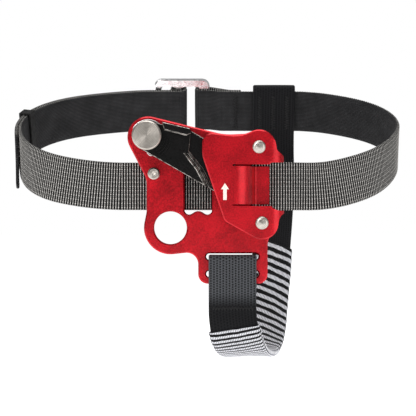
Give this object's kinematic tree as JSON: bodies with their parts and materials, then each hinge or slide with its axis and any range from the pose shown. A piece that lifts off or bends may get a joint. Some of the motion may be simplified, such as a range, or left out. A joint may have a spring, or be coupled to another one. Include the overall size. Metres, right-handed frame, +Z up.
{
  "type": "foot ascender",
  "caption": "Foot-mounted rope clamp: red anodised plates, black toothed cam on a pivot, ankle strap loop with buckle and foot loop with striped abrasion sleeve.",
  "frame": {"origin": "centre of the attachment hole, halfway through the frame plate", "axes": "+X to the right and +Z up as the clamp is seen from its cover side, +Y through the frame plate towards the ankle"},
  "size_m": [0.2149, 0.1446, 0.1565],
  "materials": {
    "red_anodised": "red anodised, fine satin",
    "black_cam": "black phosphate and lacquer, satin",
    "machined_steel": "turned, bright",
    "spring_steel": "drawn wire",
    "bronze": "sintered, oiled",
    "buckle_steel": "stamped, tumbled and polished",
    "black_webbing": "ribbed polyester webbing",
    "grey_webbing": "flat polyamide webbing",
    "striped_sleeve": "tubular webbing, pale with black stripes",
    "black_rubber": "moulded, matt",
    "black_thread": "bonded sewing thread"
  },
  "bodies": {
    "clamp_frame": {"frame_plate": "red_anodised", "cover_plate": "red_anodised", "upper_rivet": "machined_steel", "lower_rivet": "machined_steel", "upper_spacer": "machined_steel", "lower_spacer": "machined_steel", "cam_axle": "machined_steel", "front_washer": "machined_steel", "rear_washer": "machined_steel", "stop_pin": "machined_steel", "cam_spring": "spring_steel", "ankle_strap_front": "black_webbing", "ankle_strap_left": "black_webbing", "ankle_strap_right": "black_webbing", "ankle_strap_joint": "black_webbing", "ankle_strap_buckle_pass": "black_webbing", "buckle_anchor_fold": "black_webbing", "ankle_strap_tail": "black_webbing", "buckle_frame": "buckle_steel", "tail_keeper": "black_rubber", "foot_strap_anchor": "grey_webbing", "foot_strap": "grey_webbing", "heel_strap_fold": "grey_webbing", "foot_sleeve": "striped_sleeve", "heel_tack_left": "black_thread", "heel_tack_middle": "black_thread", "heel_tack_right": "black_thread", "heel_back_tack_left": "black_thread", "heel_back_tack_middle": "black_thread", "heel_back_tack_right": "black_thread", "anchor_tack": "black_thread", "foot_tack": "black_thread"},
    "cam_group": {"cam": "black_cam", "cam_bush": "bronze"}
  },
  "joints": [
    {"name": "cam_pivot", "type": "hinge", "parent": "clamp_frame", "child": "cam_group", "pos_m": [-0.0117, 0, 0.0472], "axis": [0, 1, 0], "range_deg": [0, 17], "stiffness_Nm_per_rad": 0.03, "springref_deg": -34.38, "deforming": ["cam_spring"]}
  ]
}
